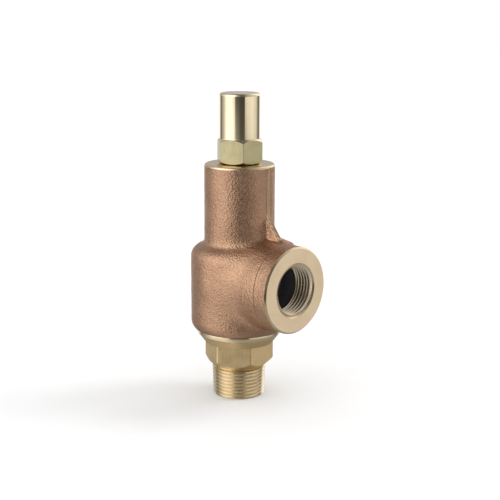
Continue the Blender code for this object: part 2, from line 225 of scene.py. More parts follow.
def castBronze(name):
    made, tree, shader = newMaterial(name)
    place = objectPlace(tree)
    x, y, z = axes(tree, place)
    patches = noise(tree, place, castFinish["patchScale"], 3)
    grain = noise(tree, place, castFinish["grainScale"], 3, 0.62)
    lumps = cells(tree, place, castFinish["grainScale"] * 0.9)
    tone = patches * 0.35 + grain * 0.65
    skin = shades(tree, tone, [(0.36, castFinish["dark"]), (0.62, castFinish["light"])])
    # the mould's parting line, ground off from the neck's top down to the rib's foot
    aside = (y - castSizes["Rib Offset"] * mm).size()
    strip = aside.between(-1, castFinish["stripHalfWidth"], 0.0004)
    strip = strip * x.between(0.0166, 0.0275, 0.0004) * z.between(0.0825, 0.12, 0.001)
    color = blendColors(tree, strip * 0.5, skin, castFinish["groundStrip"])
    tree.links.new(color, shader.inputs["Base Color"])
    rough = grain * 0.25 + (castFinish["roughness"] - 0.12) - strip * 0.12
    tree.links.new(rough.socket, shader.inputs["Roughness"])
    seamWidth = castFinish["seamHalfWidth"]
    seam = (x - castFinish["seamPlace"]).size().between(-1, seamWidth, seamWidth)
    height = (grain * 0.6 + lumps * 0.5) * (strip * -0.8 + 1) - seam * 0.8
    bump(tree, shader, height, castFinish["grainDepth"])
    return made


turnedFinish = {
    "toolMark": 9000,  # rings per metre of noise
    "markDepth": 0.000012,
    "wearScale": 90,
    "wornShade": 0.86,
}


def turnedMetal(name, color, roughness, axis):
    made, tree, shader = newMaterial(name)
    place = objectPlace(tree)
    x, y, z = axes(tree, place)
    if axis == "x":
        radius, along = reach(y, z - outletHeight * mm), x
    else:
        radius, along = reach(x, y), z
    marks = noise(tree, around(tree, radius, along), turnedFinish["toolMark"], 2)
    wear = noise(tree, place, turnedFinish["wearScale"], 3)
    tone = marks * 0.4 + wear * 0.6
    darker = tuple(part * turnedFinish["wornShade"] for part in color)
    tree.links.new(shades(tree, tone, [(0.35, darker), (0.6, color)]), shader.inputs["Base Color"])
    rough = marks * 0.12 + wear * 0.1 + (roughness - 0.11)
    tree.links.new(rough.socket, shader.inputs["Roughness"])
    bump(tree, shader, marks, turnedFinish["markDepth"])
    return made


drawnFinish = {"streaks": (2400, 2400, 130), "cloudScale": 160, "depth": 0.00004}


def drawnBrass(name, color, tarnish, roughness):  # hexagon bar as it comes from the mill
    made, tree, shader = newMaterial(name)
    place = objectPlace(tree)
    streaks = noise(tree, stretched(tree, place, drawnFinish["streaks"]), 1, 3, 0.6)
    clouds = noise(tree, place, drawnFinish["cloudScale"], 4, 0.6)
    tone = streaks * 0.45 + clouds * 0.55
    tint = shades(tree, tone, [(0.34, tarnish), (0.6, color)])
    tree.links.new(tint, shader.inputs["Base Color"])
    rough = streaks * 0.15 + clouds * 0.2 + (roughness - 0.17)
    tree.links.new(rough.socket, shader.inputs["Roughness"])
    bump(tree, shader, streaks * 0.6 + clouds * 0.6, drawnFinish["depth"])
    return made


polishedFinish = {"color": (0.93, 0.79, 0.54), "roughness": 0.03}


def polishedBrass(name):
    made, tree, shader = newMaterial(name)
    place = objectPlace(tree)
    x, y, z = axes(tree, place)
    haze = noise(tree, place, 240, 3)
    rings = noise(tree, around(tree, z, reach(x, y)), 4000, 2)
    darker = tuple(part * 0.94 for part in polishedFinish["color"])
    tone = haze * 0.7 + rings * 0.3
    color = shades(tree, tone, [(0.35, darker), (0.6, polishedFinish["color"])])
    tree.links.new(color, shader.inputs["Base Color"])
    rough = haze * 0.03 + rings * 0.02 + (polishedFinish["roughness"] - 0.025)
    tree.links.new(rough.socket, shader.inputs["Roughness"])
    bump(tree, shader, rings * 0.3 + haze, 0.000004)
    return made


def plainMetal(name, color, roughness, scale):
    made, tree, shader = newMaterial(name)
    place = objectPlace(tree)
    grain = noise(tree, place, scale, 3, 0.6)
    darker = tuple(part * 0.8 for part in color)
    tint = shades(tree, grain, [(0.35, darker), (0.65, color)])
    tree.links.new(tint, shader.inputs["Base Color"])
    tree.links.new((grain * 0.2 + (roughness - 0.1)).socket, shader.inputs["Roughness"])
    bump(tree, shader, grain, 0.00002)
    return made


def softMaterial(name, color, roughness, scale):
    made, tree, shader = newMaterial(name, 0.0)
    place = objectPlace(tree)
    grain = noise(tree, place, scale, 3, 0.6)
    lighter = tuple(part * 1.5 for part in color)
    tree.links.new(shades(tree, grain, [(0.3, color), (0.7, lighter)]), shader.inputs["Base Color"])
    tree.links.new((grain * 0.2 + (roughness - 0.1)).socket, shader.inputs["Roughness"])
    bump(tree, shader, grain, 0.00005)
    return made


# Shapes, in millimetres until they are placed

def eased(outline, ease):
    points, steps = [], 3
    for index, corner in enumerate(outline):
        before = outline[index - 1]
        after = outline[(index + 1) % len(outline)]
        if corner[0] < 0.001:
            points.append(corner)
            continue
        toBefore = math.dist(corner, before)
        toAfter = math.dist(corner, after)
        cut = min(ease, 0.4 * toBefore, 0.4 * toAfter)
        start = [c + (b - c) * cut / toBefore for c, b in zip(corner, before)]
        end = [c + (a - c) * cut / toAfter for c, a in zip(corner, after)]
        for step in range(steps + 1):
            t = step / steps
            across = [
                (1 - t) ** 2 * s + 2 * t * (1 - t) * c + t * t * e
                for s, c, e in zip(start, corner, end)
            ]
            points.append(tuple(across))
    return points


def roundStretch(centreRadius, centreHeight, radius, start, end, steps):
    points = []
    for step in range(steps + 1):
        angle = math.radians(start + (end - start) * step / steps)
        across = centreRadius + radius * math.cos(angle)
        points.append((across, centreHeight + radius * math.sin(angle)))
    return points


def newObject(name, mesh, material):
    if material:
        mesh.materials.append(material)
    made = bpy.data.objects.new(name, mesh)
    bpy.context.scene.collection.objects.link(made)
    return made


def fromBmesh(name, shape, material):
    bmesh.ops.remove_doubles(shape, verts=shape.verts, dist=0.00001)
    bmesh.ops.recalc_face_normals(shape, faces=shape.faces)
    mesh = bpy.data.meshes.new(name)
    shape.to_mesh(mesh)
    shape.free()
    return newObject(name, mesh, material)


def turned(name, outline, material, steps=144, opening=0.0):  # outline as (radius, height)
    shape = bmesh.new()
    span = math.radians(360 - opening)
    rings = []
    for radius, height in outline:
        if radius < 0.001:
            rings.append([shape.verts.new((0, 0, height))])
            continue
        ring = []
        for step in range(steps if not opening else steps + 1):
            angle = math.radians(opening / 2) + span * step / steps
            x, y = radius * math.cos(angle), radius * math.sin(angle)
            ring.append(shape.verts.new((x, y, height)))
        rings.append(ring)
    for first, second in zip(rings, rings[1:] + rings[:1]):
        if len(first) == 1 and len(second) == 1:
            continue
        for step in range(steps):
            after = step + 1 if opening else (step + 1) % steps
            corners = [first[step % len(first)], first[after % len(first)]]
            corners += [second[after % len(second)], second[step % len(second)]]
            shape.faces.new(list(dict.fromkeys(corners)))
    if opening:
        shape.faces.new([ring[0] for ring in rings])
        shape.faces.new([ring[-1] for ring in rings])
    return fromBmesh(name, shape, material)


def prism(name, corners, low, high, material):
    shape = bmesh.new()
    base = shape.faces.new([shape.verts.new((x, y, low)) for x, y in corners])
    grown = bmesh.ops.extrude_face_region(shape, geom=[base])
    tops = [item for item in grown["geom"] if isinstance(item, bmesh.types.BMVert)]
    bmesh.ops.translate(shape, verts=tops, vec=(0, 0, high - low))
    return fromBmesh(name, shape, material)


def hexagon(acrossFlats, cornerAngle, ease):  # corners rounded to the radius ease
    reachOut = acrossFlats / math.sqrt(3) - ease * (2 / math.sqrt(3))
    corners, steps = [], 5
    for corner in range(6):
        middle = math.radians(cornerAngle + 60 * corner)
        for step in range(steps + 1):
            angle = middle + math.radians(-30 + 60 * step / steps)
            across = reachOut * math.cos(middle) + ease * math.cos(angle)
            corners.append((across, reachOut * math.sin(middle) + ease * math.sin(angle)))
    return corners


threadShape = [(0.0, 0.07), (0.03, 0.0), (0.12, 0.0), (0.15, 0.07), (0.5, 0.93), (0.54, 1.0)]
threadShape += [(0.61, 1.0), (0.65, 0.93)]  # place along the pitch, share of the depth


def threadRod(name, crest, depth, pitch, low, high, material, steps, taper=0.0):
    perTurn = len(threadShape)
    turns = math.ceil((high - low) / pitch) + 3
    start = low - 2 * pitch
    top = perTurn * turns
    shape = bmesh.new()
    columns = []
    for step in range(steps):
        angle = math.tau * step / steps
        column = []
        for index in range(top + 1):
            place, share = threadShape[index % perTurn]
            height = start + pitch * (index // perTurn + place + step / steps)
            radius = crest + taper * (height - low) - depth * share
            x, y = radius * math.cos(angle), radius * math.sin(angle)
            column.append(shape.verts.new((x, y, height)))
        columns.append(column)
    for step in range(steps - 1):
        for index in range(top):
            near, far = columns[step], columns[step + 1]
            shape.faces.new((near[index], far[index], far[index + 1], near[index + 1]))
    for index in range(top - perTurn):
        near, far = columns[-1], columns[0]
        high0, high1 = index + perTurn, index + perTurn + 1
        shape.faces.new((near[index], far[high0], far[high1], near[index + 1]))
    below = [column[0] for column in columns] + columns[0][perTurn:0:-1]
    above = [column[top] for column in columns] + columns[-1][top - 1 : top - perTurn - 1 : -1]
    for loop in (below, above):
        middle = sum(vertex.co.z for vertex in loop) / len(loop)
        centre = shape.verts.new((0, 0, middle))
        for first, second in zip(loop, loop[1:] + loop[:1]):
            shape.faces.new((centre, first, second))
    return fromBmesh(name, shape, material)


def combined(target, operation, *others):
    for other in others:
        step = target.modifiers.new("combine", "BOOLEAN")
        step.operation = operation
        step.solver = "MANIFOLD"
        step.material_mode = "TRANSFER"
        step.object = other
        settle(target)
        bpy.data.objects.remove(other)
    return target


def settle(target):  # turns the modifiers into a plain mesh
    graph = bpy.context.evaluated_depsgraph_get()
    mesh = bpy.data.meshes.new_from_object(target.evaluated_get(graph))
    target.modifiers.clear()
    target.data = mesh


def alongOutlet(made):
    turn = Matrix.Translation((0, 0, outletHeight)) @ Matrix.Rotation(math.radians(90), 4, "Y")
    made.data.transform(turn)
    return made


def sectionOf(node, angle):  # a turned CAD piece's outline, read where a half-plane cuts it
    shape = bmesh.new()
    shape.from_mesh(frame["nodes"][node].data)
    bmesh.ops.remove_doubles(shape, verts=shape.verts, dist=0.000002)
    bmesh.ops.scale(shape, vec=(1 / mm,) * 3, verts=shape.verts)
    bmesh.ops.rotate(shape, verts=shape.verts, matrix=Matrix.Rotation(math.radians(-angle), 3, "Z"))
    for direction in ((0, 1, 0), (1, 0, 0)):
        geometry = shape.verts[:] + shape.edges[:] + shape.faces[:]
        bmesh.ops.bisect_plane(
            shape,
            geom=geometry,
            dist=0.001,
            plane_co=(0, 0, 0),
            plane_no=direction,
            clear_inner=True,
        )
    beside = {}
    for edge in shape.edges:
        if edge.is_boundary and max(abs(vertex.co.y) for vertex in edge.verts) < 0.002:
            first, second = edge.verts
            beside.setdefault(first, []).append(second)
            beside.setdefault(second, []).append(first)
    start = next((vertex for vertex, near in beside.items() if len(near) == 1), None)
    start = start or next(iter(beside))
    loop = [start, beside[start][0]]
    while len(loop) < len(beside):
        following = [vertex for vertex in beside[loop[-1]] if vertex not in loop[-2:]]
        if not following:
            break
        loop.append(following[0])
    points = [(max(vertex.co.x, 0.0), vertex.co.z) for vertex in loop]
    shape.free()
    return withoutStraights(points)


def withoutStraights(points):
    kept = []
    for index, point in enumerate(points):
        before = kept[-1] if kept else points[index - 1]
        after = points[(index + 1) % len(points)]
        inward = (point[0] - before[0], point[1] - before[1])
        outward = (after[0] - point[0], after[1] - point[1])
        bend = abs(inward[0] * outward[1] - inward[1] * outward[0])
        if bend > 0.002 * math.hypot(*inward) + 0.0002:
            kept.append(point)
    return kept


finePieces = {"edgeEase": 0.12, "steps": 96, "sharpAngle": 32}


def turnedFrom(node, material, opening=0.0):
    outline = eased(sectionOf(node, 180 if opening else 90), finePieces["edgeEase"])
    return turned(node + "Fine", outline, material, finePieces["steps"], opening)


def placed(piece, body, slot, *nodes):
    piece.data.transform(Matrix.Scale(mm, 4))
    piece.data.shade_smooth()
    piece.data.set_sharp_from_angle(angle=math.radians(finePieces["sharpAngle"]))
    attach(piece, body)
    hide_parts(*nodes)


# Body: the cast skin as a field of distances, and the machining cut into it

castSizes = {  # the inputs of the skin's tree
    "Bulge Radius": 24.1,
    "Bulge Edge": 6.2,
    "Bulge Top": 77.6,
    "Lip Radius": 21.3,
    "Neck Radius": 17.4,
    "Shoulder Blend": 5.0,
    "Boss Radius": 21.25,
    "Rib Thickness": 3.0,
    "Rib Offset": 2.2,  # to one side of the outlet's plane
    "Blend": 8.0,
    "Outlet Height": outletHeight,
    "Outlet Face": outletFace,
    "Bottom": bodyLow.z,
}
castShape = {
    "seamBehindFace": 7.7,
    "seamStep": 0.22,
    "ribTop": (17.3, 93.3),
    "ribFacing": (0.787, 0.617),  # the slope's normal, outward and up
    "ribGroove": 0.42,
    "padRise": 1.3,
    "padFall": 0.12,  # per millimetre towards the outlet
    "padEnd": 27.6,
    "padMiddle": 6.0,
    "padHalfWidth": 4.5,
    "waves": (0.16, 0.35),  # how fine and how deep
    "pits": (0.9, 0.12),
    "voxel": 0.6 if full else 1.1,
}


def namedInputs(tree, sizes):
    for name, size in sizes.items():
        made = tree.interface.new_socket(name=name, in_out="INPUT", socket_type="NodeSocketFloat")
        made.default_value = size
    tree.interface.new_socket(name="Material", in_out="INPUT", socket_type="NodeSocketMaterial")
    tree.interface.new_socket(name="Geometry", in_out="OUTPUT", socket_type="NodeSocketGeometry")
    inputs = tree.nodes.new("NodeGroupInput")
    return {socket.name: socket for socket in inputs.outputs if socket.name}


def finishTree(tree, geometry, material):
    realize = tree.nodes.new("GeometryNodeRealizeInstances")
    paint = tree.nodes.new("GeometryNodeSetMaterial")
    output = tree.nodes.new("NodeGroupOutput")
    tree.links.new(geometry, realize.inputs[0])
    tree.links.new(realize.outputs[0], paint.inputs["Geometry"])
    tree.links.new(material, paint.inputs["Material"])
    tree.links.new(paint.outputs[0], output.inputs[0])


def grown(name, tree, sizes, material):  # runs the tree once and keeps its plain mesh
    made = newObject(name, bpy.data.meshes.new(name), None)
    growth = made.modifiers.new(name, "NODES")
    growth.node_group = tree
    for item in tree.interface.items_tree:
        if item.in_out == "INPUT":
            growth[item.identifier] = material if item.name == "Material" else sizes[item.name]
    settle(made)
    return made


def roundBar(radial, along, radius, middle, half, edge):
    over = radial - radius + edge
    beyond = (along - middle).size() - half + edge
    outside = reach(over.highest(0), beyond.highest(0))
    return outside + over.highest(beyond).lowest(0) - edge


def castTree():
    tree = bpy.data.node_groups.new("castSkin", "GeometryNodeTree")
    sockets = namedInputs(tree, castSizes)
    size = {name: Value(tree, sockets[name]) for name in castSizes}
    place = tree.nodes.new("GeometryNodeInputPosition").outputs[0]
    x, y, z = axes(tree, place)
    radial = reach(x, y)
    bulgeLow = size["Bottom"] + 1.3
    bulgeMiddle = (size["Bulge Top"] + bulgeLow) * 0.5
    bulgeHalf = (size["Bulge Top"] - bulgeLow) * 0.5
    bulge = roundBar(radial, z, size["Bulge Radius"], bulgeMiddle, bulgeHalf, size["Bulge Edge"])
    lip = roundBar(radial, z, size["Lip Radius"], size["Bottom"] + 3.5, 4.5, 0.6)
    neck = roundBar(radial, z, size["Neck Radius"], size["Bulge Top"] + 18, 32.0, 0.6)
    aside = reach(y, z - size["Outlet Height"])
    bossMiddle = size["Outlet Face"] * 0.5 + 0.5
    boss = roundBar(aside, x, size["Boss Radius"], bossMiddle, bossMiddle, 0.6)
    rearEnd = size["Outlet Face"] - castShape["seamBehindFace"]
    rearRadius = size["Boss Radius"] + castShape["seamStep"]
    boss = boss.lowest(roundBar(aside, x, rearRadius, rearEnd * 0.5, rearEnd * 0.5, 0.2))

    # a low pad on top of the boss, behind the rib's foot
    padEnd = castShape["padEnd"]
    pad = aside - size["Boss Radius"] - castShape["padRise"]
    pad = (pad + (x - (padEnd - 0.4)) * castShape["padFall"]).math("SMOOTH_MAX", x - padEnd, 0.8)
    padSide = (y - castShape["padMiddle"]).size() - castShape["padHalfWidth"]
    pad = pad.math("SMOOTH_MAX", padSide, 1.5).highest(z * -1 + 70).highest(x * -1 + 10)
    boss = boss.math("SMOOTH_MIN", pad, 0.6)

    # the rib's slope runs from the neck down to the outlet boss
    outward, up = castShape["ribFacing"]
    slope = (x - castShape["ribTop"][0]) * outward + (z - castShape["ribTop"][1]) * up
    offPlane = y - size["Rib Offset"]
    thin = offPlane.size() - size["Rib Thickness"] * 0.5 + slope * 0.12
    rib = slope.math("SMOOTH_MAX", thin, 0.3)
    groove = reach(offPlane, slope) - castShape["ribGroove"]
    rib = rib.highest(groove * -1)
    rib = rib.highest(x * -1 + 5).highest(z * -1 + 60)

    skin = bulge.math("SMOOTH_MIN", lip, 1.5)
    skin = skin.math("SMOOTH_MIN", neck, size["Shoulder Blend"])
    skin = skin.math("SMOOTH_MIN", boss, size["Blend"])
    skin = skin.math("SMOOTH_MIN", rib, 1.2)
    for fineness, depth in (castShape["waves"], castShape["pits"]):
        skin = skin + (noise(tree, place, fineness, 2) - 0.5) * depth

    cube = tree.nodes.new("GeometryNodeVolumeCube")
    low, high = (-27, -27, bodyLow.z - 2), (outletFace + 3, 27, neckTop + 9)
    cube.inputs["Min"].default_value = low
    cube.inputs["Max"].default_value = high
    for axis, start, end in zip("XYZ", low, high):
        steps = math.ceil((end - start) / castShape["voxel"])
        cube.inputs["Resolution " + axis].default_value = steps
    tree.links.new((skin * -1 + 10).socket, cube.inputs["Density"])
    surface = tree.nodes.new("GeometryNodeVolumeToMesh")
    surface.inputs["Threshold"].default_value = 10.0
    tree.links.new(cube.outputs[0], surface.inputs["Volume"])
    finishTree(tree, surface.outputs[0], sockets["Material"])
    return tree, castSizes


machined = {
    "capBossRadius": 7.6,
    "capBossTop": bodyHigh.z,
    "fineDepth": 0.75,
    "pipeDepth": 1.45,
    "outletRoot": 13.28,  # at the face
    "passageRadius": 11.7,
    "threadLength": 10.4,
    "screwHoleRadius": 4.35,
    "taper": 1 / 32,
    "bandRadius": 21.0,
    "rimEdge": 0.8,
}


def neckTopCutter(material):
    edge = 1.2
    outline = [(7.0, neckTop)] + roundStretch(16.2, neckTop - edge, edge, 90, 0, 8)
    outline += [(18.2, neckTop - edge - 0.25), (30, neckTop - edge - 0.25)]
    outline += [(30, neckTop + 20), (7.0, neckTop + 20)]
    return turned("neckTopCutter", outline, material)


def capBoss(material):
    radius, top = machined["capBossRadius"], machined["capBossTop"]
    rod = threadRod(
        "capBoss", radius, machined["fineDepth"], finePitch, neckTop + 0.7, top, material, 72
    )
    envelope = [(0, neckTop + 0.7), (radius + 0.1, neckTop + 0.7), (radius + 0.1, top - 0.8)]
    envelope += [(radius - 0.8, top), (0, top)]
    combined(rod, "INTERSECT", turned("capBossEnd", envelope, material, 72))
    root = radius - machined["fineDepth"] - 0.05
    relief = [(0, neckTop - 2), (root, neckTop - 2), (root, neckTop + 1.4), (0, neckTop + 1.4)]
    return combined(rod, "UNION", turned("capBossRelief", relief, material, 72))


def bodyHollow(material):
    low = bodyLow.z - 1
    outline = [(0, low), (20.1, low), (19.6, low + 1.5), (19.6, low + 2.7), (17.75, low + 2.7)]
    outline += [(17.75, 41), (20.3, 42.5), (20.3, 69.5), (17, 69.5), (17, 70.6), (18.4, 70.6)]
    outline += [(18.4, 72.5), (17, 72.5), (17, 75.5), (13.4, 75.5), (13.4, 112), (12.4, 113)]
    outline += [(machined["screwHoleRadius"], 113), (machined["screwHoleRadius"], 114)]
    outline += [(0, 114)]
    return turned("bodyHollow", eased(outline, 0.25), material)


def screwHole(material):
    radius, depth, top = machined["screwHoleRadius"], 0.5, machined["capBossTop"]
    hole = threadRod("screwHole", radius + depth, depth, finePitch, 112, top + 2, material, 48)
    mouth = [(0, top - 0.5), (radius, top - 0.5), (radius + 1.2, top + 0.7), (0, top + 0.7)]
    return combined(hole, "UNION", turned("screwHoleMouth", mouth, material, 48))


def lipCutter(material):  # leaves the turned band that the nozzle's flange closes against
    radius, low = machined["bandRadius"], bodyLow.z
    outline = [(radius - 0.6, low - 1), (radius - 0.6, low), (radius - 0.1, low + 0.5)]
    outline += [(radius, low + 0.7), (radius, low + 2.6), (radius - 0.35, low + 2.75)]
    outline += [(radius - 0.35, low + 2.95), (radius + 0.3, low + 3.1), (30, low + 3.2)]
    return turned("lipCutter", outline + [(30, low - 1)], material)


def outletEndCutter(material):
    radius, face, edge = castSizes["Boss Radius"], outletFace, machined["rimEdge"]
    outline = [(0, face), (radius - edge, face), (radius + 0.05, face - edge - 0.05)]
    outline += [(30, face - edge - 0.15), (30, face + 5), (0, face + 5)]
    return alongOutlet(turned("outletEndCutter", outline, material))


def outletBore(material):
    root, face = machined["outletRoot"], outletFace
    end = face - machined["threadLength"]
    crest = root - machined["pipeDepth"] - machined["taper"] * machined["threadLength"]
    outline = [(0, end - 1), (crest, end - 1), (root - machined["pipeDepth"], face - 0.2)]
    outline += [(root - 0.6, face - 0.8), (root + 0.22, face + 0.001), (root + 2.2, face + 2)]
    outline += [(0, face + 2)]
    return alongOutlet(turned("outletBore", outline, material))


def outletPassage(material):
    end = outletFace - machined["threadLength"]
    wide, narrow = machined["passageRadius"], machined["passageRadius"] - 0.6
    outline = [(0, 6), (narrow, 6), (narrow, 15), (wide, 19), (wide, end - 1)]
    outline += [(wide - 0.5, end - 0.2), (0, end - 0.2)]
    return alongOutlet(turned("outletPassage", eased(outline, 0.4), material))


def outletThread(material):
    start, end = outletFace - machined["threadLength"], outletFace + 1
    depth, taper = machined["pipeDepth"], machined["taper"]
    crest = machined["outletRoot"] - taper * machined["threadLength"]
    rod = threadRod("outletThread", crest, depth, pipePitch, start, end, material, 120, taper)
    fade = [(0, start - 2), (crest - 1.9, start - 2), (crest - 1.5, start)]
    fade += [(crest + 0.2, start + 1.2), (14.5, outletFace), (14.5, end), (0, end)]
    combined(rod, "INTERSECT", turned("outletThreadRun", fade, material, 120))
    return alongOutlet(rod)


def castBody(skin, cut, band, core, thread):
    body = grown("castBody", *castTree(), skin)
    low, boss = bodyLow.z, machined["capBossRadius"]
    under = turned("underCutter", [(0, low - 9), (32, low - 9), (32, low), (0, low)], cut)
    top = [(0, neckTop), (boss, neckTop), (boss, neckTop + 12), (0, neckTop + 12)]
    middle = turned("neckCoreCutter", top, cut)
    ends = (neckTopCutter(cut), outletEndCutter(cut))
    combined(body, "DIFFERENCE", under, lipCutter(band), *ends, middle)
    combined(body, "UNION", capBoss(cut))
    # core is painted shade: the hollow and the outlet's passage are near-black instead of cast
    # bronze
    combined(body, "DIFFERENCE", bodyHollow(core), screwHole(cut))
    # thread is the paler bronze that paints a highlight on the outlet's thread crests
    outlet = (outletPassage(core), outletBore(cut), outletThread(thread))
    return combined(body, "DIFFERENCE", *outlet)


# Inlet nozzle

nozzleShape = {
    "acrossFlats": 30.2,
    "flatAngle": 5.5,  # from the outlet's direction to the normal of one flat
    "cornerEase": 0.9,
    "hexBottom": 15.8,
    "hexTop": 29.0,
    "crest": 13.0,  # at the end
    "chamferRadius": 13.3,
    "flangeRadius": 20.35,
}


def inletNozzle(satin, material):
    size = nozzleShape
    bottom, end = size["hexBottom"], nozzleLow.z
    ease = size["cornerEase"]
    corners = hexagon(size["acrossFlats"], size["flatAngle"] + 30, ease)
    nozzle = prism("inletNozzleFine", corners, bottom, size["hexTop"], satin)
    inner, top = size["chamferRadius"], size["hexTop"]
    chamfer = [(0, bottom), (inner, bottom), (18.4, bottom + 4.6), (18.4, top), (0, top)]
    combined(nozzle, "INTERSECT", turned("hexChamfer", eased(chamfer, 0.2), satin))
    flange, seat = size["flangeRadius"], bodyLow.z - 0.03
    cone = [(0, 27.9), (17.3, 27.9), (flange, seat), (0, seat)]
    combined(nozzle, "UNION", turned("nozzleFlange", cone, satin))
    tower = [(0, seat - 1), (17.4, seat - 1)]
    tower += [(17.4, 43), (16.4, 44), (12, 44), (9.6, nozzleHigh.z), (0, nozzleHigh.z)]
    combined(nozzle, "UNION", turned("nozzleTower", eased(tower, 0.12), material))
    crest, depth = size["crest"], machined["pipeDepth"]
    rod = threadRod(
        "inletThread", crest, depth, pipePitch, end, bottom, material, 120, machined["taper"]
    )
    limit = [(0, end), (crest - 0.75, end), (crest + 0.2, end + 1.0), (14.2, end + 1.6)]
    limit += [(14.2, bottom - 1.6), (crest - 0.7, bottom - 0.2), (crest - 0.7, bottom + 1)]
    limit += [(0, bottom + 1)]
    combined(rod, "INTERSECT", turned("inletThreadRun", limit, material, 120))
    combined(nozzle, "UNION", rod)
    bore = [(0, end - 1), (10.3, end - 1), (10.3, end), (9.6, end + 0.7), (9.6, 20), (7.9, 26)]
    bore += [(7.9, nozzleHigh.z - 0.5), (8.4, nozzleHigh.z), (9.4, nozzleHigh.z + 1)]
    bore += [(0, nozzleHigh.z + 1)]
    return combined(nozzle, "DIFFERENCE", turned("nozzleBore", bore, material))


# Cap, screwed to the body's boss

capShape = {
    "acrossFlats": 20.64,
    "cornerAngle": 23.0,
    "cornerEase": 0.3,
    "hexTop": 130.2,
    "radius": 10.0,
    "topEdge": 1.4,
    "insideRadius": 8.3,
}


def valveCap(asDrawn, polished, cut):
    size = capShape
    low, high, top = capLow.z, capHigh.z, size["hexTop"]
    corners = hexagon(size["acrossFlats"], size["cornerAngle"], size["cornerEase"])
    cap = prism("capFine", corners, low, top, asDrawn)
    limit = [(0, low), (10.0, low), (12.2, low + 1.6), (12.2, top - 1.9), (10.1, top), (0, top)]
    combined(cap, "INTERSECT", turned("capCorners", eased(limit, 0.15), polished))
    edge, radius = size["topEdge"], size["radius"]
    outline = [(0, top - 4), (radius - 0.6, top - 4), (radius - 0.6, top - 0.35)]
    outline += [(radius + 0.05, top + 0.02), (radius, top + 0.4)]
    outline += roundStretch(radius - edge, high - edge, edge, 0, 78, 12)
    outline += [(radius - edge * 1.5, high - 0.03), (0, high)]
    combined(cap, "UNION", turned("capTube", outline, polished))
    inside = size["insideRadius"]
    hollow = [(0, low - 1), (9.9, low - 1), (9.6, low), (9.6, low + 1.3), (7.95, low + 1.3)]
    hollow += [(7.95, low + 7.7), (inside, low + 8.2), (inside, 149.5), (7.2, 150.5), (0, 150.5)]
    combined(cap, "DIFFERENCE", turned("capHollow", hollow, cut, 96))
    thread = threadRod("capThread", 8.5, 0.65, finePitch, low + 1, low + 8, cut, 72)
    run = [(0, low + 1), (8.6, low + 1), (8.6, low + 7.2), (7.8, low + 8), (0, low + 8)]
    combined(thread, "INTERSECT", turned("capThreadRun", run, cut, 72))
    return combined(cap, "DIFFERENCE", thread)


# Adjusting screw, its nut and the spring

screwShape = {"radius": 3.97, "depth": 0.75, "slotWidth": 1.2, "slotDepth": 1.7}


def slotCutter(name, length, width, low, high, material):
    across, half = length / 2, width / 2
    corners = [(-across, -half), (across, -half), (across, half), (-across, half)]
    return prism(name, corners, low, high, material)


def adjustingScrew(material):
    low, high = boxOf("adjusting_screw")
    radius, depth, start = screwShape["radius"], screwShape["depth"], low.z + 5.6
    root = radius - depth
    rod = threadRod("adjustingScrewFine", radius, depth, finePitch, start, high.z, material, 48)
    limit = [(0, low.z + 5.2), (root, low.z + 5.2), (radius + 0.1, low.z + 6.2)]
    limit += [(radius + 0.1, high.z - 0.6), (radius - 0.6, high.z), (0, high.z)]
    combined(rod, "INTERSECT", turned("screwLimit", limit, material, 48))
    nose = [(0, low.z), (2.6, low.z + 1.5), (2.6, low.z + 4.6), (root - 0.05, low.z + 5)]
    nose += [(root - 0.05, low.z + 8), (0, low.z + 8)]
    combined(rod, "UNION", turned("screwNose", eased(nose, 0.2), material, 48))
    width, bottom = screwShape["slotWidth"], high.z - screwShape["slotDepth"]
    slot = slotCutter("screwSlot", 12, width, bottom, high.z + 1, material)
    return combined(rod, "DIFFERENCE", slot)


def jamNut(material):
    low, high = boxOf("jam_nut")
    nut = prism("jamNutFine", hexagon(12.7, 10, 0.2), low.z, high.z, material)
    limit = [(0, low.z), (6.3, low.z), (7.5, low.z + 0.7), (7.5, high.z - 0.7), (6.3, high.z)]
    limit += [(0, high.z)]
    combined(nut, "INTERSECT", turned("nutCorners", limit, material, 96))
    hole = threadRod("nutThread", 4.8, 0.5, finePitch, low.z - 1, high.z + 1, material, 48)
    combined(nut, "DIFFERENCE", hole)
    for height, grow in ((low.z, -1), (high.z, 1)):
        mouth = [(0, height - 0.55 * grow), (4.25, height - 0.55 * grow)]
        mouth += [(5.3, height + 0.5 * grow), (0, height + 0.5 * grow)]
        combined(nut, "DIFFERENCE", turned("nutMouth", mouth, material, 48))
    return nut


springShape = {"Turns": 5.5, "End Turns": 1.0, "Radius": 10.7, "Wire": 1.3, "End Gap": 0.3}


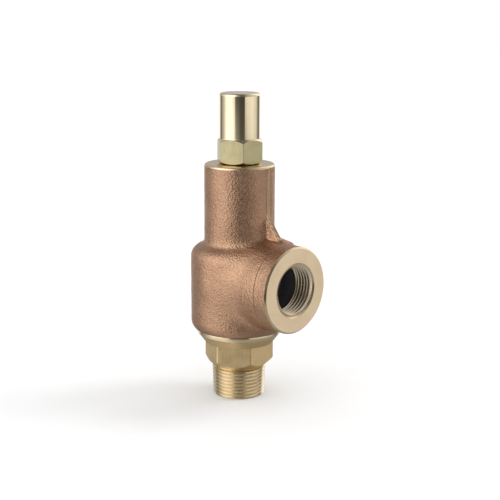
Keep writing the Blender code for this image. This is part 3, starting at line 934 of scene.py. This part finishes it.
def springTree():
    tree = bpy.data.node_groups.new("reliefSpring", "GeometryNodeTree")
    low, high = boxOf("valve_spring")
    sizes = {**springShape, "Low": low.z, "High": high.z}
    sockets = namedInputs(tree, sizes)
    size = {name: Value(tree, sockets[name]) for name in sizes}
    steps = round(springShape["Turns"] * 40) + 1
    line = tree.nodes.new("GeometryNodeCurvePrimitiveLine")
    divided = tree.nodes.new("GeometryNodeResampleCurve")
    divided.inputs["Count"].default_value = steps
    tree.links.new(line.outputs[0], divided.inputs["Curve"])
    along = tree.nodes.new("GeometryNodeSplineParameter")
    turn = Value(tree, along.outputs["Factor"]) * size["Turns"]
    first = turn.lowest(size["End Turns"])
    last = (turn - size["Turns"] + size["End Turns"]).highest(0)
    endPitch = size["Wire"] * 2 + size["End Gap"]
    start = size["Low"] + size["Wire"] * 0.55
    rise = size["High"] - size["Low"] - size["Wire"] * 1.1 - endPitch * size["End Turns"] * 2
    pitch = rise.math("DIVIDE", size["Turns"] - size["End Turns"] * 2)
    height = start + (first + last) * endPitch + (turn - first - last) * pitch
    angle = turn * math.tau
    joined = tree.nodes.new("ShaderNodeCombineXYZ")
    for item, slot in zip((angle.math("COSINE"), angle.math("SINE")), joined.inputs):
        tree.links.new((item * size["Radius"]).socket, slot)
    tree.links.new(height.socket, joined.inputs[2])
    coil = tree.nodes.new("GeometryNodeSetPosition")
    tree.links.new(divided.outputs[0], coil.inputs["Geometry"])
    tree.links.new(joined.outputs[0], coil.inputs["Position"])
    ring = tree.nodes.new("GeometryNodeCurvePrimitiveCircle")
    ring.inputs["Resolution"].default_value = 14
    tree.links.new(sockets["Wire"], ring.inputs["Radius"])
    wire = tree.nodes.new("GeometryNodeCurveToMesh")
    wire.inputs["Fill Caps"].default_value = True
    tree.links.new(coil.outputs[0], wire.inputs["Curve"])
    tree.links.new(ring.outputs[0], wire.inputs["Profile Curve"])

    # both ends are ground flat
    x, y, z = axes(tree, tree.nodes.new("GeometryNodeInputPosition").outputs[0])
    flat = tree.nodes.new("ShaderNodeCombineXYZ")
    ground = z.highest(size["Low"]).lowest(size["High"])
    for item, slot in zip((x, y, ground), flat.inputs):
        tree.links.new(item.socket, slot)
    grind = tree.nodes.new("GeometryNodeSetPosition")
    tree.links.new(wire.outputs[0], grind.inputs["Geometry"])
    tree.links.new(flat.outputs[0], grind.inputs["Position"])
    finishTree(tree, grind.outputs[0], sockets["Material"])
    return tree, sizes


ventShape = {
    "Count": 4.0,
    "Circle Radius": 12.2,
    "Vent Radius": 1.7,
    "Height": 74.0,
    "First Angle": 45.0,
}


def ventTree():
    tree = bpy.data.node_groups.new("guideVents", "GeometryNodeTree")
    sockets = namedInputs(tree, ventShape)
    ring = tree.nodes.new("GeometryNodeMeshCircle")
    tree.links.new(sockets["Count"], ring.inputs["Vertices"])
    tree.links.new(sockets["Circle Radius"], ring.inputs["Radius"])
    drill = tree.nodes.new("GeometryNodeMeshCylinder")
    drill.inputs["Vertices"].default_value = 40
    drill.inputs["Depth"].default_value = 4.0
    tree.links.new(sockets["Vent Radius"], drill.inputs["Radius"])
    spread = tree.nodes.new("GeometryNodeInstanceOnPoints")
    tree.links.new(ring.outputs[0], spread.inputs["Points"])
    tree.links.new(drill.outputs[0], spread.inputs["Instance"])
    placedVents = tree.nodes.new("GeometryNodeTransform")
    lift = tree.nodes.new("ShaderNodeCombineXYZ")
    turn = tree.nodes.new("ShaderNodeCombineXYZ")
    tree.links.new(sockets["Height"], lift.inputs[2])
    radians = Value(tree, sockets["First Angle"]) * math.radians(1)
    tree.links.new(radians.socket, turn.inputs[2])
    tree.links.new(spread.outputs[0], placedVents.inputs["Geometry"])
    tree.links.new(lift.outputs[0], placedVents.inputs["Translation"])
    tree.links.new(turn.outputs[0], placedVents.inputs["Rotation"])
    finishTree(tree, placedVents.outputs[0], sockets["Material"])
    return tree, ventShape


# The valve

print("materials")
looks = {  # what makes each one, then its colors, roughness and axis or grain
    "castBronze": (castBronze,),
    "polishedBrass": (polishedBrass,),
    "turnedBronze": (turnedMetal, (0.86, 0.68, 0.45), 0.24, "x"),
    # the outlet's thread: the turned bronze made paler, a painted highlight on the crests
    "threadBronze": (turnedMetal, (0.97, 0.83, 0.62), 0.30, "x"),
    "bandBronze": (turnedMetal, (0.86, 0.68, 0.45), 0.13, "z"),
    "turnedBrass": (turnedMetal, (0.92, 0.79, 0.57), 0.24, "z"),
    "insideBrass": (turnedMetal, (0.83, 0.68, 0.40), 0.30, "z"),
    "stainlessSteel": (turnedMetal, (0.62, 0.61, 0.59), 0.26, "z"),
    "platedSteel": (turnedMetal, (0.66, 0.63, 0.55), 0.33, "z"),
    "satinBrass": (drawnBrass, (0.84, 0.64, 0.35), (0.70, 0.51, 0.26), 0.44),
    "drawnBrass": (drawnBrass, (0.53, 0.47, 0.27), (0.40, 0.34, 0.19), 0.30),
    "springSteel": (plainMetal, (0.40, 0.40, 0.41), 0.34, 1800),
    # near-black in place of the bronze inside the body's hollow and the outlet's passage: painted
    # shade
    "coredPassage": (softMaterial, (0.055, 0.052, 0.063), 0.55, 900),
    "seatRubber": (softMaterial, (0.018, 0.018, 0.018), 0.60, 2500),
    "gasketFibre": (softMaterial, (0.36, 0.28, 0.16), 0.80, 3000),
}
looks = {name: make(name, *values) for name, (make, *values) in looks.items()}

print("cast body")
bodyLooks = ("castBronze", "turnedBronze", "bandBronze", "coredPassage", "threadBronze")
cast = castBody(*(looks[name] for name in bodyLooks))
placed(cast, "housing", "cast_bronze", "valve_body")

print("inlet nozzle")
nozzle = inletNozzle(looks["satinBrass"], looks["turnedBrass"])
placed(nozzle, "housing", "turned_brass", "inlet_nozzle")

print("cap")
cap = valveCap(looks["drawnBrass"], looks["polishedBrass"], looks["insideBrass"])
placed(cap, "cover", "polished_brass", "cap")

print("adjuster and spring")
screw, nut = adjustingScrew(looks["platedSteel"]), jamNut(looks["platedSteel"])
placed(screw, "adjuster", "plated_steel", "adjusting_screw")
placed(nut, "lock_nut", "plated_steel", "jam_nut")
spring = grown("valveSpringFine", *springTree(), looks["springSteel"])
placed(spring, "housing", "spring_steel", "valve_spring")
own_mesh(spring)

print("turned pieces")
brass, steel = looks["insideBrass"], looks["stainlessSteel"]
guide = turnedFrom("guide_plate", brass)
combined(guide, "DIFFERENCE", grown("ventDrills", *ventTree(), brass))
placed(guide, "housing", "turned_brass", "guide_plate")
retainerScrew = turnedFrom("retainer_screw", steel)
head = boxOf("retainer_screw")[0].z
headSlot = slotCutter("retainerSlot", 10, 1, head - 1, head + 0.9, steel)
combined(retainerScrew, "DIFFERENCE", headSlot)
placed(retainerScrew, "lift_train", "stainless_steel", "retainer_screw")

turnedPieces = [  # node, body, slot, look, ring opening in degrees
    ("nozzle_seal_ring", "housing", "gasket_fibre", "gasketFibre", 0),
    ("guide_bush", "housing", "turned_brass", "insideBrass", 0),
    ("guide_retaining_ring", "housing", "spring_steel", "springSteel", 24),
    ("disc_holder", "lift_train", "turned_brass", "insideBrass", 0),
    ("seat_insert", "lift_train", "seat_rubber", "seatRubber", 0),
    ("insert_retainer", "lift_train", "turned_brass", "insideBrass", 0),
    ("disc_clip", "lift_train", "stainless_steel", "stainlessSteel", 50),
    ("pivot_ball", "lift_train", "stainless_steel", "stainlessSteel", 0),
    ("spindle", "lift_train", "stainless_steel", "stainlessSteel", 0),
    ("spindle_snap_ring", "lift_train", "stainless_steel", "stainlessSteel", 50),
    ("lower_spring_step", "lift_train", "plated_steel", "platedSteel", 0),
    ("upper_spring_step", "upper_step", "plated_steel", "platedSteel", 0),
    ("jam_nut_washer", "nut_washer", "plated_steel", "platedSteel", 0),
    ("cap_gasket", "gasket", "gasket_fibre", "gasketFibre", 0),
]
for node, body, slot, look, opening in turnedPieces:
    placed(turnedFrom(node, looks[look], opening), body, slot, node)


# Floor, light and camera

studio = {
    "floorSize": 6.0,
    "floorColor": (0.93, 0.93, 0.93),
    "overhead": 0.15,
    "lampSoftness": 24,
    "lampPower": 0.75,
    "lampAngle": 100,
    "lampTilt": 42,
    # where the high, low and top bands begin, on a sphere of radius 1, and how softly
    "bandEdges": ((0.0, 0.04), (-0.40, 0.07), (0.86, 0.12)),
    # degrees from the camera's direction, to the right positive, and the brightness there
    "level": [
        (-180, 1.0), (-145, 1.0), (-135, 0.12), (-125, 0.2), (-114, 0.4), (-100, 0.6), (-92, 0.85),
        (-80, 1.35), (-52, 1.45), (-41, 1.1), (-30, 0.9), (-25, 0.07), (14, 0.05), (26, 0.05),
        (31, 0.8), (46, 0.92), (74, 0.98), (86, 0.85), (103, 0.72), (115, 0.35), (124, 0.15),
        (135, 0.2), (145, 1.0), (180, 1.0),
    ],
    "high": [
        (-180, 0.5), (-125, 0.45), (-100, 1.0), (-70, 2.0), (-38, 1.8), (-18, 0.5), (5, 0.12),
        (30, 0.15), (45, 0.45), (100, 0.7), (130, 1.2), (155, 1.2), (170, 0.5), (180, 0.5),
    ],
    "low": [
        (-180, 0.3), (-120, 0.4), (-80, 0.9), (-40, 0.9), (-15, 0.5), (10, 0.4), (40, 0.4),
        (110, 0.35), (180, 0.3),
    ],
}
view = {
    "azimuth": 44.77,
    "elevation": 12.72,
    "distance": 0.563,
    "height": 0.0742,
    "aside": 0.0053,
    "lens": 81.3,
    "roll": 0.33,
}


def makeFloor():
    half = studio["floorSize"] / 2
    shape = bmesh.new()
    corners = [(-half, -half), (half, -half), (half, half), (-half, half)]
    shape.faces.new([shape.verts.new((x, y, nozzleLow.z * mm)) for x, y in corners])
    mesh = bpy.data.meshes.new("studioFloor")
    shape.to_mesh(mesh)
    shape.free()
    made, tree, shader = newMaterial("palePaper", 0.0)
    tint = noise(tree, objectPlace(tree), 40, 2)
    shade = tuple(part * 0.985 for part in studio["floorColor"])
    color = shades(tree, tint, [(0.3, shade), (0.7, studio["floorColor"])])
    tree.links.new(color, shader.inputs["Base Color"])
    shader.inputs["Roughness"].default_value = 1.0
    shader.inputs["Specular IOR Level"].default_value = 0.0
    floor = newObject("studioFloor", mesh, made)
    floor.visible_glossy = False


def makeWorld():
    world = bpy.data.worlds.new("studio")
    bpy.context.scene.world = world
    world.use_nodes = True
    tree = world.node_tree
    tree.nodes.clear()
    x, y, z = axes(tree, tree.nodes.new("ShaderNodeTexCoord").outputs["Generated"])
    toCamera = math.radians(view["azimuth"] - 90)
    turnedX = x * math.cos(-toCamera) - y * math.sin(-toCamera)
    turnedY = x * math.sin(-toCamera) + y * math.cos(-toCamera)
    around = turnedY.math("ARCTAN2", turnedX) * (1 / math.tau) + 0.5
    bands = {}
    for band in ("level", "high", "low"):
        stops = [(angle / 360 + 0.5, (bright / 2,) * 3) for angle, bright in studio[band]]
        bands[band] = Value(tree, shades(tree, around, stops)) * 2
    (highEdge, highSoft), (lowEdge, lowSoft), (topEdge, topSoft) = studio["bandEdges"]
    upper = z.between(highEdge, 2, highSoft)
    lower = z.between(-2, lowEdge, lowSoft)
    top = z.between(topEdge, 2, topSoft)
    light = bands["level"] * (upper * -1 + 1) * (lower * -1 + 1)
    light = light + bands["high"] * upper * (top * -1 + 1) + bands["low"] * lower
    light = light + top * studio["overhead"]
    background = tree.nodes.new("ShaderNodeBackground")
    white = tree.nodes.new("ShaderNodeBackground")
    for node in (background, white):
        node.inputs["Color"].default_value = (1, 1, 1, 1)
    mix = tree.nodes.new("ShaderNodeMixShader")
    path = tree.nodes.new("ShaderNodeLightPath")
    output = tree.nodes.new("ShaderNodeOutputWorld")
    tree.links.new(light.socket, background.inputs["Strength"])
    even = Value(tree, path.outputs["Is Camera Ray"]) + Value(tree, path.outputs["Is Diffuse Ray"])
    tree.links.new(even.lowest(1).socket, mix.inputs[0])
    tree.links.new(background.outputs[0], mix.inputs[1])
    tree.links.new(white.outputs[0], mix.inputs[2])
    tree.links.new(mix.outputs[0], output.inputs[0])


def makeCamera():
    turn, tilt = math.radians(view["azimuth"]), math.radians(view["elevation"])
    right = Vector((math.cos(turn), math.sin(turn), 0))
    flat = math.cos(tilt)
    back = Vector((math.sin(turn) * flat, -math.cos(turn) * flat, math.sin(tilt)))
    middle = Vector((0, 0, view["height"]))
    place = middle + back * view["distance"]
    ahead = (middle + right * view["aside"] - place).normalized()
    lens = bpy.data.cameras.new("camera")
    lens.lens = view["lens"]
    lens.sensor_width = 36
    lens.clip_end = 50
    camera = bpy.data.objects.new("camera", lens)
    bpy.context.scene.collection.objects.link(camera)
    turnTo = ahead.to_track_quat("-Z", "Y").to_matrix().to_4x4()
    roll = Matrix.Rotation(math.radians(view["roll"]), 4, "Z")
    camera.matrix_world = Matrix.Translation(place) @ turnTo @ roll
    bpy.context.scene.camera = camera


def makeLamp():  # only for the soft shadow on the floor
    lamp = bpy.data.lights.new("shadowLamp", "SUN")
    lamp.angle = math.radians(studio["lampSoftness"])
    lamp.energy = studio["lampPower"]
    turn = math.radians(view["azimuth"] - 90 + studio["lampAngle"])
    tilt = math.radians(studio["lampTilt"])
    flat = math.cos(tilt)
    toLamp = Vector((math.cos(turn) * flat, math.sin(turn) * flat, math.sin(tilt)))
    made = bpy.data.objects.new("shadowLamp", lamp)
    made.rotation_euler = toLamp.to_track_quat("Z", "Y").to_euler()
    made.visible_glossy = False
    bpy.context.scene.collection.objects.link(made)


print("floor, light and camera")
makeFloor()
makeLamp()
makeWorld()
makeCamera()
bpy.context.scene.view_settings.view_transform = "Standard"
